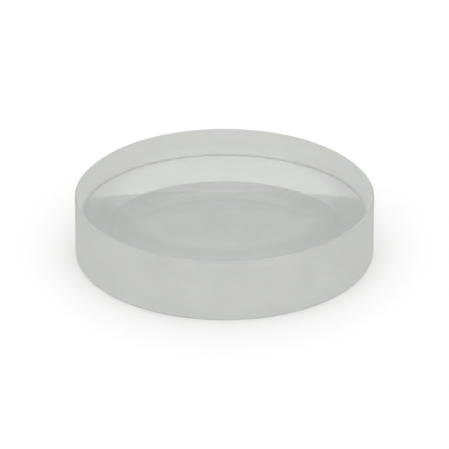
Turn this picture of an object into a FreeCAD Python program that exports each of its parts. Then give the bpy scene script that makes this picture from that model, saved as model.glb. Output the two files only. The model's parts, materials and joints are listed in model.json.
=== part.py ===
"""Biconcave lens: one disc of optical glass, ground and polished hollow on both faces.

The lens is a solid of revolution about +Z, its optical axis. It lies on its lower rim, so the
origin is on the axis in the plane of that rim, and the thin middle of the glass stands clear of
the table. From the axis outwards a half section shows a concave polished face, a short flat bevel
that protects the rim, and the straight ground edge by which a lens cell holds the glass.

Sizes are in millimetres and angles in degrees.
"""
import FreeCAD, Part
import math
import os

# Driving dimensions
LENS_DIAMETER = 25.4            # across the ground edge
CENTRE_THICKNESS = 3.4          # glass between the deepest points of the two faces
UPPER_FACE_RADIUS = 76.0        # radius of curvature of the upper polished face
LOWER_FACE_RADIUS = 76.0        # radius of curvature of the lower polished face
BEVEL_WIDTH = 0.2               # how far each bevel reaches in from the ground edge
BEVEL_ANGLE = 45.0              # slope of each bevel, measured from the rim's plane

AXIS = FreeCAD.Vector(0, 0, 1)
ORIGIN = FreeCAD.Vector(0, 0, 0)


def sag(face_radius, zone_radius):
    """Depth of a spherical face from its rim circle, of zone_radius, down to its middle."""
    return face_radius - math.sqrt(face_radius ** 2 - zone_radius ** 2)


def half_section():
    """Closed outline of the glass on one side of the axis, in the XZ plane.

    It runs from the middle of the lower face out to the rim, up the ground edge and back along
    the upper face. Each face is one arc, whose centre lies on the axis outside the glass.
    """
    edge_radius = LENS_DIAMETER / 2
    rim_radius = edge_radius - BEVEL_WIDTH
    bevel_height = BEVEL_WIDTH * math.tan(math.radians(BEVEL_ANGLE))

    lower_middle = sag(LOWER_FACE_RADIUS, rim_radius)
    upper_middle = lower_middle + CENTRE_THICKNESS
    upper_rim = upper_middle + sag(UPPER_FACE_RADIUS, rim_radius)

    def point(radius, height):
        return FreeCAD.Vector(radius, 0, height)

    def face_arc(face_radius, middle, side):
        """Arc from the axis to the rim circle; side is +1 if the face looks up, -1 if down."""
        half_zone = rim_radius / 2
        half_sag = sag(face_radius, half_zone)
        rim_sag = sag(face_radius, rim_radius)
        return Part.Arc(
            point(0, middle),
            point(half_zone, middle + side * half_sag),
            point(rim_radius, middle + side * rim_sag),
        ).toShape()

    lower_rim_point = point(rim_radius, 0)
    edge_foot = point(edge_radius, bevel_height)
    edge_head = point(edge_radius, upper_rim - bevel_height)
    upper_rim_point = point(rim_radius, upper_rim)
    return Part.Wire([
        face_arc(LOWER_FACE_RADIUS, lower_middle, -1),
        Part.makeLine(lower_rim_point, edge_foot),
        Part.makeLine(edge_foot, edge_head),
        Part.makeLine(edge_head, upper_rim_point),
        face_arc(UPPER_FACE_RADIUS, upper_middle, +1),
        Part.makeLine(point(0, upper_middle), point(0, lower_middle)),
    ])


def lens():
    """The glass: the half section turned once round the optical axis."""
    return Part.Face(half_section()).revolve(ORIGIN, AXIS, 360)


os.makedirs("parts", exist_ok=True)
lens().exportStep("parts/lens.step")
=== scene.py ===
"""Dressed model of a biconcave lens: the glass with its polished and ground finishes, and its light.

The file is laid out as a Blender add-on and is run as a script. Lengths are in metres. The lens is
a surface of revolution about Z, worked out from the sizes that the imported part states. It rests on
its lower rim, with the origin on its axis, and the camera stands on the side of -Y.
"""
import json
import math

import bpy
import numpy as np
from bpy.props import FloatProperty, FloatVectorProperty, IntProperty, PointerProperty
from bpy.types import Operator, Panel, PropertyGroup
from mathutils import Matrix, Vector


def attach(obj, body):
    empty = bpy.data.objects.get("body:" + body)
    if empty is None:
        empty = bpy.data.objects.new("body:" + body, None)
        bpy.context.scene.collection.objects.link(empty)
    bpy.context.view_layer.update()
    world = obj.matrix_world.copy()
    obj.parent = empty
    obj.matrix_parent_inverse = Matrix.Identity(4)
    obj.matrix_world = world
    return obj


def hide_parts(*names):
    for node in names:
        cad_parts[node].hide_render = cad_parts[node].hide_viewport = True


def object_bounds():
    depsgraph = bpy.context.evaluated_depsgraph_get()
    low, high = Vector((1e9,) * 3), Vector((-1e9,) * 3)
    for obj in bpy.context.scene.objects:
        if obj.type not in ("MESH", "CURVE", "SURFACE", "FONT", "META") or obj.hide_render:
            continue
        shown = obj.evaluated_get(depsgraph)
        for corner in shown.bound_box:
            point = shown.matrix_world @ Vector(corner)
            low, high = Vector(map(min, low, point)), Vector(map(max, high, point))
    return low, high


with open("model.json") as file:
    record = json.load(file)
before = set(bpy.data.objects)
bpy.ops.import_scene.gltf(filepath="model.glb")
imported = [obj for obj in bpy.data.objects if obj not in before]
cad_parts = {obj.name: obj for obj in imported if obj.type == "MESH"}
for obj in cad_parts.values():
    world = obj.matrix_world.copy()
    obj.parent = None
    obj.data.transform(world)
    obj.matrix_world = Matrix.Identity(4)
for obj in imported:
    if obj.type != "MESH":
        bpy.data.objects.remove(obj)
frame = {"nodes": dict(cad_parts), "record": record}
cad_low, cad_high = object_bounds()

bl_info = {
    "name": "Biconcave Lens",
    "version": (1, 0, 0),
    "blender": (4, 5, 0),
    "location": "View3D > Sidebar > Lens",
    "description": "Builds a biconcave lens with polished faces and a fine-ground edge",
    "category": "Add Mesh",
}

MM_IN_METRE = 1000

# A mesh point that is nearer to the axis than this, in metres, lies on it
ON_AXIS = 1e-6

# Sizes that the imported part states
LENS_NODE = "lens"
MOUNTS = {mount["name"]: mount for mount in frame["record"]["mounts"]}
MESH_POINTS = np.array([vertex.co for vertex in frame["nodes"][LENS_NODE].data.vertices])
AXIS_HEIGHTS = MESH_POINTS[np.hypot(MESH_POINTS[:, 0], MESH_POINTS[:, 1]) < ON_AXIS, 2]
EDGE_RADIUS = MOUNTS["ground_edge"]["dims"]["r_mm"] / MM_IN_METRE
EDGE_HEIGHT = MOUNTS["ground_edge"]["dims"]["length_mm"] / MM_IN_METRE
RIM_RADIUS = MOUNTS["lower_rim"]["pos_m"][0]
THICKNESS = cad_high.z - cad_low.z
BEVEL_HEIGHT = (THICKNESS - EDGE_HEIGHT) / 2
LOWER_MIDDLE = float(AXIS_HEIGHTS.min())
UPPER_MIDDLE = float(AXIS_HEIGHTS.max())

# Parts of the lens surface, in the order of its material slots
LOWER_FACE, UPPER_FACE, EDGE, BEVEL = 0, 1, 2, 3

# The photograph's frame and where the lens sits in it
PHOTO_SIDE = 449
LENS_CENTRE_ROW = 221.6

# How near to the camera it still sees, as a share of its distance from the lens
CLIP_SHARE = 0.01

# The values between which a noise texture mostly keeps, and how finely every noise is divided
NOISE_LOW, NOISE_HIGH = 0.3, 0.7
NOISE_DETAIL = 3.0


class LensSizes(PropertyGroup):
    """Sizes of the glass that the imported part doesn't state, and how finely it is divided."""

    corner_radius: FloatProperty(
        name="Corner radius",
        description="Rounding left by lapping where two surfaces of the lens meet",
        default=0.00003,
        subtype="DISTANCE",
        unit="LENGTH",
    )
    segments: IntProperty(
        name="Segments",
        description="Number of steps round the lens",
        default=480,
        min=24,
    )
    face_rings: IntProperty(
        name="Face rings",
        description="Number of steps from the middle of a face to its rim",
        default=72,
        min=4,
    )
    edge_rings: IntProperty(
        name="Edge rings",
        description="Number of steps along a bevel or up the ground edge",
        default=10,
        min=2,
    )
    corner_rings: IntProperty(
        name="Corner rings",
        description="Number of steps round each rounded corner",
        default=4,
        min=1,
    )


class GlassFinish(PropertyGroup):
    """Colours and finish of the polished faces, of the ground edge and of the bevels."""

    index: FloatProperty(
        name="Index of refraction",
        description="Index of refraction of the glass",
        default=1.517,
        min=1.0,
    )
    # Greyer than clear glass: partly the glass's own tint and partly painted shade, which darkens
    # everything seen through the faces.
    polished_colour_and_shade: FloatVectorProperty(
        name="Polished colour",
        description="Share of light that passes the glass from face to face",
        subtype="COLOR",
        default=(0.77, 0.784, 0.767),
        min=0.0,
        max=1.0,
    )
    haze_size: FloatProperty(
        name="Haze size",
        description="Size of the soft patches of haze on the polished faces",
        default=0.0015,
        subtype="DISTANCE",
        unit="LENGTH",
    )
    haze_shade: FloatProperty(
        name="Haze shade",
        description="How much the haze darkens and lightens the polished faces",
        default=0.03,
        min=0.0,
        max=1.0,
        subtype="FACTOR",
    )
    haze_roughness: FloatProperty(
        name="Haze roughness",
        description="Roughness of the polished faces where the haze is thickest",
        default=0.015,
        min=0.0,
        max=1.0,
        subtype="FACTOR",
    )
    # The next six settings paint shade: a grey matt layer near the rim of the upper face, darkest to
    # the left and right, where shade shows through the glass.
    painted_shade_start: FloatProperty(
        name="Film start",
        description="Distance from the axis at which the thin film on the hollow upper face begins",
        default=0.0083,
        subtype="DISTANCE",
        unit="LENGTH",
    )
    painted_shade_fade: FloatProperty(
        name="Film fade",
        description="Distance over which the film on the upper face comes in",
        default=0.0022,
        subtype="DISTANCE",
        unit="LENGTH",
    )
    painted_shade_share: FloatProperty(
        name="Film share",
        description="Share of the upper face that the film covers where it is thickest",
        default=0.4,
        min=0.0,
        max=1.0,
        subtype="FACTOR",
    )
    painted_shade_thinnest: FloatProperty(
        name="Film at its thinnest",
        description="What is left of the film in the patches where it is thinnest",
        default=0.85,
        min=0.0,
        max=1.0,
        subtype="FACTOR",
    )
    # Less of the painted shade at the front and back leaves it darkest to the left and right.
    painted_shade_front_back: FloatProperty(
        name="Film where wiped",
        description="What still shows of the film at the front and back, which wiping has thinned",
        default=0.6,
        min=0.0,
        max=1.0,
        subtype="FACTOR",
    )
    # Grey of the painted shade layer on the upper face.
    painted_shade_colour: FloatVectorProperty(
        name="Film colour",
        description="Colour of the film that wiping leaves near the rim of the upper face",
        subtype="COLOR",
        default=(0.40, 0.405, 0.395),
        min=0.0,
        max=1.0,
    )
    edge_colour: FloatVectorProperty(
        name="Edge colour",
        description="Colour of the fine-ground edge",
        subtype="COLOR",
        default=(0.892, 0.90, 0.87),
        min=0.0,
        max=1.0,
    )
    # Darker than the edge, partly for the finer grind and partly as painted shade: it offsets the
    # extra light that the sloping bevels catch and darkens the thin line they show through the glass.
    bevel_colour_and_shade: FloatVectorProperty(
        name="Bevel colour",
        description="Colour of the bevels, which are ground finer than the edge",
        subtype="COLOR",
        default=(0.82, 0.828, 0.80),
        min=0.0,
        max=1.0,
    )
    ground_clearness: FloatProperty(
        name="Ground clearness",
        description="Share of the ground surface that lets light through, scattering it evenly",
        default=0.68,
        min=0.0,
        max=1.0,
        subtype="FACTOR",
    )
    ground_roughness: FloatProperty(
        name="Ground roughness",
        description="Roughness of the edge and the bevels where they are roughest",
        default=0.65,
        min=0.0,
        max=1.0,
        subtype="FACTOR",
    )
    ground_least_roughness: FloatProperty(
        name="Ground least roughness",
        description="Roughness of the edge and the bevels where they are smoothest",
        default=0.6,
        min=0.0,
        max=1.0,
        subtype="FACTOR",
    )
    ground_shade: FloatProperty(
        name="Ground shade",
        description="How much darker and lighter the edge and the bevels are in places",
        default=0.04,
        min=0.0,
        max=1.0,
        subtype="FACTOR",
    )
    grain_size: FloatProperty(
        name="Grain size",
        description="Size of the pits that grinding leaves",
        default=0.00012,
        subtype="DISTANCE",
        unit="LENGTH",
    )
    edge_grain_depth: FloatProperty(
        name="Edge grain depth",
        description="Depth of the pits and lines that grinding leaves on the edge",
        default=0.00002,
        subtype="DISTANCE",
        unit="LENGTH",
    )
    bevel_grain_depth: FloatProperty(
        name="Bevel grain depth",
        description="Depth of the pits and lines that grinding leaves on the bevels",
        default=0.000005,
        subtype="DISTANCE",
        unit="LENGTH",
    )
    line_pitch: FloatProperty(
        name="Line pitch",
        description="Height of the faint lines that grinding leaves round the edge",
        default=0.0002,
        subtype="DISTANCE",
        unit="LENGTH",
    )
    line_length: FloatProperty(
        name="Line length",
        description="Length of the faint lines that grinding leaves round the edge",
        default=0.006,
        subtype="DISTANCE",
        unit="LENGTH",
    )
    cloud_size: FloatProperty(
        name="Cloud size",
        description="Size of the soft clouds in the shade of the edge and the bevels",
        default=0.003,
        subtype="DISTANCE",
        unit="LENGTH",
    )


class StageLook(PropertyGroup):
    """Floor, light and camera."""

    floor_radius: FloatProperty(
        name="Floor radius",
        description="Radius of the round floor",
        default=20.0,
        subtype="DISTANCE",
        unit="LENGTH",
    )
    floor_segments: IntProperty(
        name="Floor segments",
        description="Number of steps round the floor",
        default=96,
        min=3,
    )
    floor_colour: FloatVectorProperty(
        name="Floor colour",
        description="Colour of the floor",
        subtype="COLOR",
        default=(0.96, 0.96, 0.96),
        min=0.0,
        max=1.0,
    )
    sky_level: FloatProperty(
        name="Sky level",
        description="Brightness of the even light from all sides",
        default=1.10,
        min=0.0,
    )
    side_dimming: FloatProperty(
        name="Side dimming",
        description="How much weaker the even light is from the left and right than from the front",
        default=0.38,
        min=0.0,
        max=1.0,
        subtype="FACTOR",
    )
    clear_height: FloatProperty(
        name="Clear height",
        description="How high above the horizon the dimming of the left and right is full",
        default=math.radians(8),
        min=math.radians(0.1),
        subtype="ANGLE",
        unit="ROTATION",
    )
    panel_level: FloatProperty(
        name="Panel level",
        description="Brightness that the soft panel adds to the even light",
        default=0.3,
        min=0.0,
    )
    panel_elevation: FloatProperty(
        name="Panel elevation",
        description="How far the soft panel is raised from behind the lens, over it and to the front",
        default=math.radians(100),
        subtype="ANGLE",
        unit="ROTATION",
    )
    panel_tightness: FloatProperty(
        name="Panel tightness",
        description="How fast the panel fades away from its middle",
        default=6.0,
        min=1.0,
    )
    camera_elevation: FloatProperty(
        name="Camera elevation",
        description="How far the camera looks down on the lens",
        default=math.radians(27.1),
        subtype="ANGLE",
        unit="ROTATION",
    )
    camera_distance: FloatProperty(
        name="Camera distance",
        description="Distance from the camera to the middle of the lens",
        default=27 * EDGE_RADIUS,
        subtype="DISTANCE",
        unit="LENGTH",
    )
    focal_pixels: FloatProperty(
        name="Focal length in pixels",
        description="Focal length of the camera, in pixels of the photograph",
        default=4030.0,
        min=1.0,
    )


def rounded_corner(corner, before, after, radius, count):
    """Arc of count steps that rounds a corner, where the unit tangent before turns into after.

    With turn the angle between the two tangents and normal the one of before on the side of after,
    the arc is start + radius * (sin(s) * before + (1 - cos(s)) * normal) for s from 0 to turn. Its
    start lies radius * tan(turn / 2) ahead of the corner.
    """
    turn = math.acos(float(before @ after))
    normal = after - (after @ before) * before
    normal = normal / np.linalg.norm(normal)
    start = corner - before * radius * math.tan(turn / 2)
    s = np.linspace(0, turn, count + 1)[:, None]
    return start + radius * (np.sin(s) * before + (1 - np.cos(s)) * normal)


def crowded(count):
    """count + 1 shares from 0 to 1, (1 - cos(pi t)) / 2, so that steps crowd towards both ends."""
    return (1 - np.cos(np.pi * np.linspace(0, 1, count + 1))) / 2


def lens_profile(sizes):
    """Half section from the axis on the lower face, out round the edge and back to the axis.

    A face is the arc height(r) = middle -+ (R - sqrt(R^2 - r^2)), whose radius of curvature
    R = (a^2 + s^2) / (2 s) follows from its rim radius a and its sag s. Returns the points as
    (radius, height) rows and, for each step between two points, the surface that it belongs to.
    """
    lower_sag = LOWER_MIDDLE - cad_low.z
    upper_sag = cad_high.z - UPPER_MIDDLE
    lower_curve = (RIM_RADIUS ** 2 + lower_sag ** 2) / (2 * lower_sag)
    upper_curve = (RIM_RADIUS ** 2 + upper_sag ** 2) / (2 * upper_sag)

    corners = np.array([
        (RIM_RADIUS, 0.0),
        (EDGE_RADIUS, BEVEL_HEIGHT),
        (EDGE_RADIUS, THICKNESS - BEVEL_HEIGHT),
        (RIM_RADIUS, THICKNESS),
    ])
    lower_slope = math.asin(RIM_RADIUS / lower_curve)
    upper_slope = math.asin(RIM_RADIUS / upper_curve)
    bevel_slope = math.atan2(BEVEL_HEIGHT, EDGE_RADIUS - RIM_RADIUS)
    outward = np.array([math.cos(lower_slope), -math.sin(lower_slope)])
    up_bevel = np.array([math.cos(bevel_slope), math.sin(bevel_slope)])
    upward = np.array([0.0, 1.0])
    in_bevel = np.array([-math.cos(bevel_slope), math.sin(bevel_slope)])
    inward = np.array([-math.cos(upper_slope), -math.sin(upper_slope)])
    tangents = [outward, up_bevel, upward, in_bevel, inward]
    arcs = [
        rounded_corner(corner, before, after, sizes.corner_radius, sizes.corner_rings)
        for corner, before, after in zip(corners, tangents[:-1], tangents[1:])
    ]

    quarter = np.sin(np.pi / 2 * np.linspace(0, 1, sizes.face_rings + 1))
    lower_r = quarter * arcs[0][0, 0]
    upper_r = quarter[::-1] * arcs[3][-1, 0]
    lower_z = LOWER_MIDDLE - (lower_curve - np.sqrt(lower_curve ** 2 - lower_r ** 2))
    upper_z = UPPER_MIDDLE + (upper_curve - np.sqrt(upper_curve ** 2 - upper_r ** 2))

    def between(a, b):
        """Points of the straight stretch from a to b, without its ends."""
        return a + crowded(sizes.edge_rings)[1:-1, None] * (b - a)

    stretches = [
        (np.column_stack([lower_r, lower_z])[:-1], LOWER_FACE),
        (arcs[0], BEVEL),
        (between(arcs[0][-1], arcs[1][0]), BEVEL),
        (arcs[1], EDGE),
        (between(arcs[1][-1], arcs[2][0]), EDGE),
        (arcs[2], EDGE),
        (between(arcs[2][-1], arcs[3][0]), BEVEL),
        (arcs[3][:-1], BEVEL),
        (np.column_stack([upper_r, upper_z]), UPPER_FACE),
    ]
    points = np.vstack([stretch for stretch, _ in stretches])
    kinds = np.concatenate([np.full(len(stretch), kind) for stretch, kind in stretches])
    return points, kinds[:-1]


def revolved_mesh(name, points, kinds, segments):
    """Closed surface of revolution about Z.

    Ring i is the circle (r cos a, r sin a, z) with r, z = points[i] and a = 2 pi j / segments. The
    first and last points lie on the axis and are one vertex each, with a fan of triangles. kinds
    gives the material slot of the faces between ring i and ring i + 1.
    """
    angles = 2 * np.pi * np.arange(segments) / segments
    rings = points[1:-1]
    x = rings[:, 0, None] * np.cos(angles)
    y = rings[:, 0, None] * np.sin(angles)
    z = np.broadcast_to(rings[:, 1, None], x.shape)
    ring_vertices = np.stack([x, y, z], axis=-1).reshape(-1, 3)
    bottom = np.array([[0.0, 0.0, points[0, 1]]])
    top = np.array([[0.0, 0.0, points[-1, 1]]])
    vertices = np.vstack([bottom, ring_vertices, top])
    top_index = len(vertices) - 1

    here = np.arange(segments)
    after = (here + 1) % segments
    start = 1 + np.arange(len(rings) - 1)[:, None] * segments
    quads = np.stack(
        [start + here, start + after, start + segments + after, start + segments + here], axis=-1
    ).reshape(-1, 4)
    last_ring = top_index - segments
    bottom_fan = np.column_stack([np.zeros(segments, int), 1 + after, 1 + here])
    top_fan = np.column_stack([np.full(segments, top_index), last_ring + here, last_ring + after])

    mesh = bpy.data.meshes.new(name)
    mesh.from_pydata(vertices.tolist(), [], bottom_fan.tolist() + quads.tolist() + top_fan.tolist())
    slots = np.concatenate([
        np.full(segments, kinds[0]), np.repeat(kinds[1:-1], segments), np.full(segments, kinds[-1])
    ])
    mesh.polygons.foreach_set("material_index", slots.astype(np.int32))
    mesh.polygons.foreach_set("use_smooth", np.ones(len(slots), bool))
    mesh.update()
    return mesh


def new_material(name):
    """A node material that holds only its output, with its node tree and the output's surface."""
    material = bpy.data.materials.new(name)
    material.use_nodes = True
    tree = material.node_tree
    tree.nodes.clear()
    return material, tree, tree.nodes.new("ShaderNodeOutputMaterial").inputs["Surface"]


def feed(tree, socket, value):
    """Set an input socket to a number, or link it to an output socket."""
    if isinstance(value, (int, float)):
        socket.default_value = value
    else:
        tree.links.new(value, socket)


def math_node(tree, operation, *values):
    """Output of a math node whose inputs are numbers or output sockets."""
    node = tree.nodes.new("ShaderNodeMath")
    node.operation = operation
    for socket, value in zip(node.inputs, values):
        feed(tree, socket, value)
    return node.outputs["Value"]


def mean_node(tree, first, second):
    """Mean of two values."""
    return math_node(tree, "MULTIPLY", math_node(tree, "ADD", first, second), 0.5)


def vector_node(tree, operation, vector, constant=(0, 0, 0)):
    """Vector math node that works on a vector socket and a constant vector."""
    node = tree.nodes.new("ShaderNodeVectorMath")
    node.operation = operation
    node.inputs[1].default_value = constant
    tree.links.new(vector, node.inputs[0])
    return node


def noise_node(tree, coordinates, sizes):
    """Noise between 0 and 1, with patches of the given sizes along X, Y and Z."""
    mapping = tree.nodes.new("ShaderNodeMapping")
    mapping.inputs["Scale"].default_value = [1 / size for size in sizes]
    noise = tree.nodes.new("ShaderNodeTexNoise")
    noise.inputs["Scale"].default_value = 1.0
    noise.inputs["Detail"].default_value = NOISE_DETAIL
    tree.links.new(coordinates, mapping.inputs["Vector"])
    tree.links.new(mapping.outputs["Vector"], noise.inputs["Vector"])
    return noise.outputs["Fac"]


def spread_node(tree, noise, low, high):
    """Noise, which mostly keeps near its middle, spread from low to high."""
    spread = tree.nodes.new("ShaderNodeMapRange")
    spread.inputs["From Min"].default_value = NOISE_LOW
    spread.inputs["From Max"].default_value = NOISE_HIGH
    spread.inputs["To Min"].default_value = low
    spread.inputs["To Max"].default_value = high
    tree.links.new(noise, spread.inputs["Value"])
    return spread.outputs["Result"]


def shade_node(tree, colour, amount, noise):
    """The colour, made darker and lighter by amount as the noise falls and rises."""
    mix = tree.nodes.new("ShaderNodeMix")
    mix.data_type = "RGBA"
    dark, light = (
        [min(1.0, channel * (1 + change)) for channel in colour] for change in (-amount, amount)
    )
    mix.inputs["A"].default_value = (*dark, 1)
    mix.inputs["B"].default_value = (*light, 1)
    tree.links.new(spread_node(tree, noise, 0.0, 1.0), mix.inputs["Factor"])
    return mix.outputs["Result"]


def mix_shaders(tree, share, first, second, surface):
    """Lead a mix of two shaders to the surface, with the second one by share."""
    mix = tree.nodes.new("ShaderNodeMixShader")
    feed(tree, mix.inputs["Fac"], share)
    tree.links.new(first.outputs["BSDF"], mix.inputs[1])
    tree.links.new(second.outputs["BSDF"], mix.inputs[2])
    tree.links.new(mix.outputs["Shader"], surface)


def painted_shade_cover(tree, coordinates, patches, finish):
    """Share of a face that a grey matt layer of painted shade covers: nothing round the axis, and most
    near the rim.

    With r the distance from the axis it is the share times smoothstep((r - start) / fade),
    less in patches, down to the thinnest share of that. Seen from outside it is also multiplied by
    w + (1 - w) * (x / rim radius) ** 2, with w the share that shows at the front and back, so that the
    painted shade is darkest to the left and right. From inside the glass, where it darkens the total
    reflection, all of it shows.
    """
    across = vector_node(tree, "MULTIPLY", coordinates, (1, 1, 0)).outputs["Vector"]
    radius = vector_node(tree, "LENGTH", across).outputs["Value"]
    fade = tree.nodes.new("ShaderNodeMapRange")
    fade.interpolation_type = "SMOOTHSTEP"
    fade.inputs["From Min"].default_value = finish.painted_shade_start
    fade.inputs["From Max"].default_value = finish.painted_shade_start + finish.painted_shade_fade
    fade.inputs["To Max"].default_value = finish.painted_shade_share
    tree.links.new(radius, fade.inputs["Value"])
    thinning = spread_node(tree, patches, finish.painted_shade_thinnest, 1.0)
    cover = math_node(tree, "MULTIPLY", fade.outputs["Result"], thinning)

    # Less painted shade at the front and back than at the left and right.
    axes = tree.nodes.new("ShaderNodeSeparateXYZ")
    tree.links.new(across, axes.inputs["Vector"])
    aside = math_node(tree, "MULTIPLY", axes.outputs["X"], 1 / RIM_RADIUS)
    aside = math_node(tree, "MULTIPLY", aside, aside)
    outside = math_node(tree, "MULTIPLY_ADD", aside, 1 - finish.painted_shade_front_back, finish.painted_shade_front_back)
    inside = tree.nodes.new("ShaderNodeNewGeometry").outputs["Backfacing"]
    shown = math_node(tree, "MAXIMUM", outside, inside)
    return math_node(tree, "MULTIPLY", cover, shown)


def polished_material(name, finish, has_painted_shade):
    """Polished optical glass: clear, with a faint haze in soft patches.

    With its last argument set, it also has a grey matt layer near the rim of the hollow face, which
    paints shade there, darkest to the left and right.
    """
    material, tree, surface = new_material(name)
    coordinates = tree.nodes.new("ShaderNodeTexCoord").outputs["Object"]
    patches = noise_node(tree, coordinates, [finish.haze_size] * 3)
    # The grey of the polished faces is partly painted shade.
    shade = shade_node(tree, finish.polished_colour_and_shade, finish.haze_shade, patches)
    roughness = spread_node(tree, patches, finish.haze_roughness, 0.0)
    glass = tree.nodes.new("ShaderNodeBsdfPrincipled")
    glass.inputs["IOR"].default_value = finish.index
    glass.inputs["Transmission Weight"].default_value = 1.0
    tree.links.new(shade, glass.inputs["Base Color"])
    tree.links.new(roughness, glass.inputs["Roughness"])
    # Painted shade: a grey matt layer mixed in near the rim of the upper face.
    if has_painted_shade:
        painted_shade_layer = tree.nodes.new("ShaderNodeBsdfDiffuse")
        painted_shade_layer.inputs["Color"].default_value = (*finish.painted_shade_colour, 1)
        mix_shaders(tree, painted_shade_cover(tree, coordinates, patches, finish), glass, painted_shade_layer, surface)
    else:
        tree.links.new(glass.outputs["BSDF"], surface)
    return material


def ground_material(name, finish, colour, grain_depth):
    """Fine-ground glass: matt white, and letting light through as frosted glass does.

    Its shade varies with a fine grain, with the faint lines that the grinding wheel leaves round
    the edge and with soft clouds. Grain and lines are raised and sunk too, by grain_depth.
    """
    material, tree, surface = new_material(name)
    coordinates = tree.nodes.new("ShaderNodeTexCoord").outputs["Object"]
    line_sizes = (finish.line_length, finish.line_length, finish.line_pitch)
    grain = noise_node(tree, coordinates, [finish.grain_size] * 3)
    lines = noise_node(tree, coordinates, line_sizes)
    clouds = noise_node(tree, coordinates, [finish.cloud_size] * 3)
    texture = mean_node(tree, grain, lines)
    shade = shade_node(tree, colour, finish.ground_shade, mean_node(tree, texture, clouds))
    roughness = spread_node(tree, texture, finish.ground_roughness, finish.ground_least_roughness)
    bump = tree.nodes.new("ShaderNodeBump")
    bump.inputs["Distance"].default_value = grain_depth
    tree.links.new(texture, bump.inputs["Height"])

    matt = tree.nodes.new("ShaderNodeBsdfPrincipled")
    matt.inputs["IOR"].default_value = finish.index
    tree.links.new(shade, matt.inputs["Base Color"])
    tree.links.new(roughness, matt.inputs["Roughness"])
    frosted = tree.nodes.new("ShaderNodeBsdfTranslucent")
    tree.links.new(shade, frosted.inputs["Color"])
    for shader in (matt, frosted):
        tree.links.new(bump.outputs["Normal"], shader.inputs["Normal"])
    mix_shaders(tree, finish.ground_clearness, matt, frosted, surface)
    return material


def floor_material(look):
    """Pale matt floor, which keeps the shadow of the lens."""
    material, tree, surface = new_material("pale_floor")
    matt = tree.nodes.new("ShaderNodeBsdfDiffuse")
    matt.inputs["Color"].default_value = (*look.floor_colour, 1)
    tree.links.new(matt.outputs["BSDF"], surface)
    return material


def floor_mesh(look):
    """Flat disc: rim points (R cos a, R sin a, 0) with a = 2 pi j / n, and a fan from its middle."""
    count = look.floor_segments
    angles = 2 * np.pi * np.arange(count) / count
    rim = look.floor_radius * np.column_stack([np.cos(angles), np.sin(angles), np.zeros(count)])
    middle = np.zeros((1, 3))
    here = np.arange(count)
    fan = np.column_stack([np.full(count, count), here, (here + 1) % count])
    mesh = bpy.data.meshes.new("floor")
    mesh.from_pydata(np.vstack([rim, middle]).tolist(), [], fan.tolist())
    return mesh


def studio_world(look):
    """Even light from all sides, weaker from the left and right, and a soft panel overhead.

    In direction d its brightness is level * (1 - dimming * d.x ** 2 * (1 + d.y) * h) plus
    panel * max(0, d . p) ** n, with p the direction of the panel and n its tightness. h grows
    from 0 at the horizon to 1 at the clear height, so that the backdrop of a low view is white.
    """
    world = bpy.data.worlds.new("studio")
    world.use_nodes = True
    tree = world.node_tree
    tree.nodes.clear()
    direction = tree.nodes.new("ShaderNodeTexCoord").outputs["Generated"]
    axes = tree.nodes.new("ShaderNodeSeparateXYZ")
    tree.links.new(direction, axes.inputs["Vector"])
    sideways = math_node(tree, "MULTIPLY", axes.outputs["X"], axes.outputs["X"])
    backward = math_node(tree, "ADD", axes.outputs["Y"], 1.0)
    rising = math_node(tree, "MULTIPLY", axes.outputs["Z"], 1 / math.sin(look.clear_height))
    height = math_node(tree, "MINIMUM", rising, 1.0)
    dimmed = math_node(tree, "MULTIPLY", math_node(tree, "MULTIPLY", sideways, backward), height)
    loss = -look.sky_level * look.side_dimming
    sky = math_node(tree, "MULTIPLY_ADD", dimmed, loss, look.sky_level)
    panel = (0, math.cos(look.panel_elevation), math.sin(look.panel_elevation))
    toward = vector_node(tree, "DOT_PRODUCT", direction, panel).outputs["Value"]
    ahead = math_node(tree, "MAXIMUM", toward, 0.0)
    lobe = math_node(tree, "POWER", ahead, look.panel_tightness)
    brightness = math_node(tree, "MULTIPLY_ADD", lobe, look.panel_level, sky)
    light = tree.nodes.new("ShaderNodeBackground")
    light.inputs["Color"].default_value = (1, 1, 1, 1)
    tree.links.new(brightness, light.inputs["Strength"])
    output = tree.nodes.new("ShaderNodeOutputWorld")
    tree.links.new(light.outputs["Background"], output.inputs["Surface"])
    bpy.context.scene.world = world


def aim_camera(look):
    """Camera in front of the lens that looks down on it, with the lens where the photograph has it."""
    elevation = look.camera_elevation
    centre = np.array([0.0, 0.0, (cad_low.z + cad_high.z) / 2])
    back = np.array([0.0, -math.cos(elevation), math.sin(elevation)])
    up = np.array([0.0, math.sin(elevation), math.cos(elevation)])
    pixel = look.camera_distance / look.focal_pixels
    rise = (PHOTO_SIDE / 2 - LENS_CENTRE_ROW) * pixel
    data = bpy.data.cameras.new("camera")
    data.lens = look.focal_pixels / PHOTO_SIDE * data.sensor_width
    data.clip_start = look.camera_distance * CLIP_SHARE
    camera = bpy.data.objects.new("camera", data)
    camera.location = centre + back * look.camera_distance - up * rise
    camera.rotation_euler = (math.pi / 2 - elevation, 0, 0)
    bpy.context.scene.collection.objects.link(camera)
    bpy.context.scene.camera = camera


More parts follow.
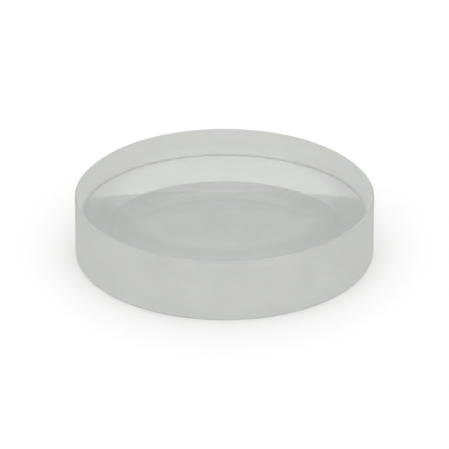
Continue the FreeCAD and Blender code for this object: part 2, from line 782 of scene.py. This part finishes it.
class LENS_OT_glass(Operator):
    """Build the lens: polished concave faces, ground edge and bevels"""

    bl_idname = "lens.glass"
    bl_label = "Lens"

    def execute(self, context):
        sizes = context.scene.lens_sizes
        finish = context.scene.lens_finish
        points, kinds = lens_profile(sizes)
        mesh = revolved_mesh("lens_glass", points, kinds, sizes.segments)
        materials = {
            LOWER_FACE: polished_material("lower_face", finish, has_painted_shade=False),
            # The upper face carries the painted shade layer.
            UPPER_FACE: polished_material("upper_face", finish, has_painted_shade=True),
            EDGE: ground_material("ground_edge", finish, finish.edge_colour, finish.edge_grain_depth),
            # The bevels' darker colour is partly painted shade.
            BEVEL: ground_material(
                "ground_bevels", finish, finish.bevel_colour_and_shade, finish.bevel_grain_depth
            ),
        }
        for slot in sorted(materials):
            mesh.materials.append(materials[slot])
        piece = bpy.data.objects.new("lens_glass", mesh)
        context.scene.collection.objects.link(piece)
        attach(piece, "root")
        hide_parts(LENS_NODE)
        return {"FINISHED"}


class LENS_OT_stage(Operator):
    """Set the floor, the light and the camera"""

    bl_idname = "lens.stage"
    bl_label = "Stage"

    def execute(self, context):
        look = context.scene.lens_stage
        mesh = floor_mesh(look)
        mesh.materials.append(floor_material(look))
        floor = bpy.data.objects.new("floor", mesh)
        context.scene.collection.objects.link(floor)
        studio_world(look)
        aim_camera(look)
        context.scene.view_settings.view_transform = "Standard"
        return {"FINISHED"}


class LENS_PT_panel(Panel):
    """Lists the steps that build the lens and its stage"""

    bl_idname = "LENS_PT_panel"
    bl_label = "Biconcave lens"
    bl_space_type = "VIEW_3D"
    bl_region_type = "UI"
    bl_category = "Lens"

    def draw(self, context):
        for operator in OPERATORS:
            self.layout.operator(operator.bl_idname)


OPERATORS = (LENS_OT_glass, LENS_OT_stage)
CLASSES = (LensSizes, GlassFinish, StageLook, *OPERATORS, LENS_PT_panel)


def register():
    for item in CLASSES:
        bpy.utils.register_class(item)
    bpy.types.Scene.lens_sizes = PointerProperty(type=LensSizes)
    bpy.types.Scene.lens_finish = PointerProperty(type=GlassFinish)
    bpy.types.Scene.lens_stage = PointerProperty(type=StageLook)


def unregister():
    del bpy.types.Scene.lens_sizes
    del bpy.types.Scene.lens_finish
    del bpy.types.Scene.lens_stage
    for item in reversed(CLASSES):
        bpy.utils.unregister_class(item)


def main():
    register()
    bpy.ops.lens.glass()
    bpy.ops.lens.stage()


if __name__ == "__main__":
    main()
